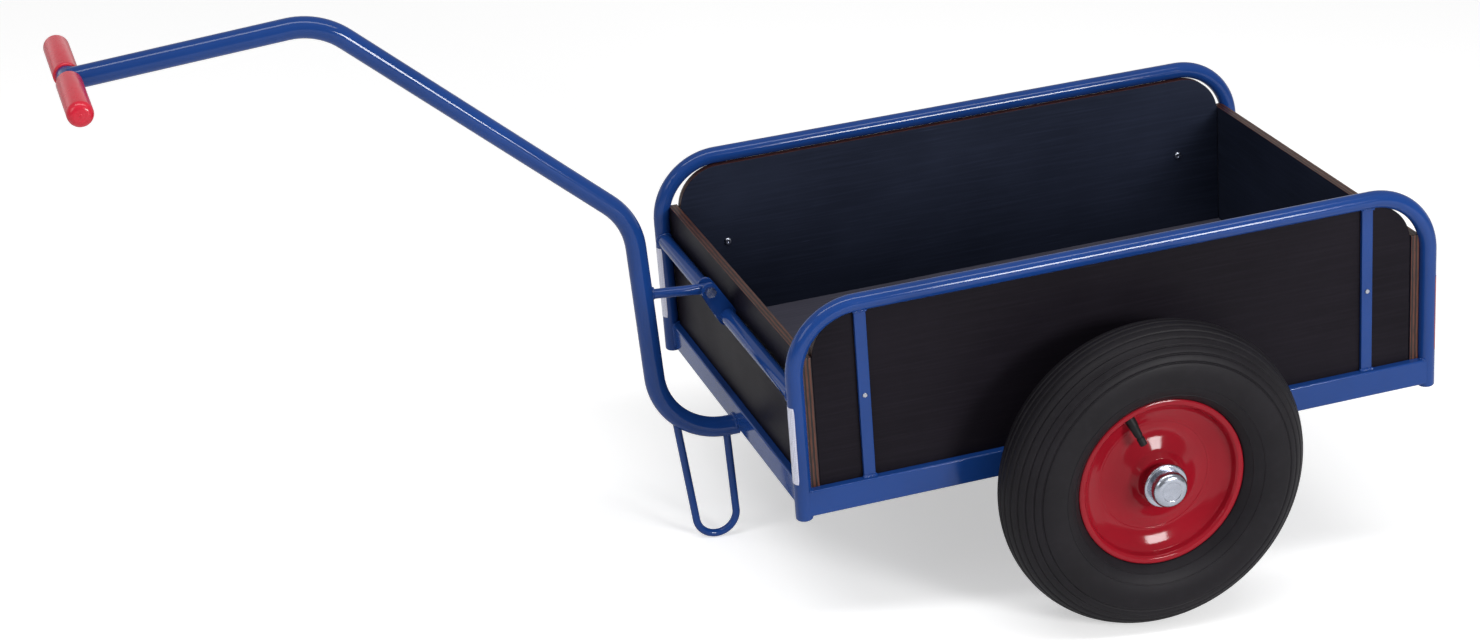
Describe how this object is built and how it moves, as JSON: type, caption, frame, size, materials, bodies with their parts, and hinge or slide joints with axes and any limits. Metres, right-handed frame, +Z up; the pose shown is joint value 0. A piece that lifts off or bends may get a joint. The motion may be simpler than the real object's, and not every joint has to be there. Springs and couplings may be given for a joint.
{
  "type": "hand cart",
  "caption": "Hand cart: film-faced plywood load box in a welded tube frame on pneumatic wheels, with a bent drawbar, T-handle and loop stand, for pulling loads by hand.",
  "frame": {"origin": "on the ground, under the middle of the parked cart's length and width", "axes": "+X forward to the T-handle, +Y to the left of the cart, +Z up"},
  "size_m": [1.6878, 0.847, 0.7452],
  "materials": {
    "blue_paint": "semi-gloss blue powder coat",
    "plywood": "smooth dark phenolic film with bare brown edges",
    "red_grip": "glossy red plastic",
    "zinc": "bright zinc plating",
    "red_rim": "glossy red paint",
    "tyre_rubber": "matt black rubber",
    "valve_rubber": "black rubber"
  },
  "bodies": {
    "frame": {"hoop_left": "blue_paint", "hoop_right": "blue_paint", "side_rail_left": "blue_paint", "side_rail_right": "blue_paint", "front_rail": "blue_paint", "rear_rail": "blue_paint", "front_cross_tube": "blue_paint", "rear_cross_tube": "blue_paint", "strap_left_front": "blue_paint", "strap_left_rear": "blue_paint", "strap_right_front": "blue_paint", "strap_right_rear": "blue_paint", "drawbar": "blue_paint", "tee_bar": "blue_paint", "strut": "blue_paint", "strut_bracket": "blue_paint", "stand_loop": "blue_paint", "floor_board": "plywood", "side_panel_left": "plywood", "side_panel_right": "plywood", "end_panel_front": "plywood", "end_panel_rear": "plywood", "grip_left": "red_grip", "grip_right": "red_grip", "strut_bolt": "zinc", "panel_screws_left": "zinc", "panel_screws_right": "zinc", "axle": "zinc", "axle_spacers": "zinc", "axle_washers": "zinc", "axle_cap_left": "zinc", "axle_cap_right": "zinc"},
    "left_wheel": {"tyre_left": "tyre_rubber", "wheel_rim_left": "red_rim", "hub_left": "red_rim", "valve_left": "valve_rubber"},
    "right_wheel": {"tyre_right": "tyre_rubber", "wheel_rim_right": "red_rim", "hub_right": "red_rim", "valve_right": "valve_rubber"}
  },
  "joints": [
    {"name": "left_wheel_spin", "type": "hinge", "parent": "frame", "child": "left_wheel", "pos_m": [-0.41131, 0.364, 0.2], "axis": [0, 1, 0], "continuous": true},
    {"name": "right_wheel_spin", "type": "hinge", "parent": "frame", "child": "right_wheel", "pos_m": [-0.41131, -0.364, 0.2], "axis": [0, 1, 0], "continuous": true}
  ]
}
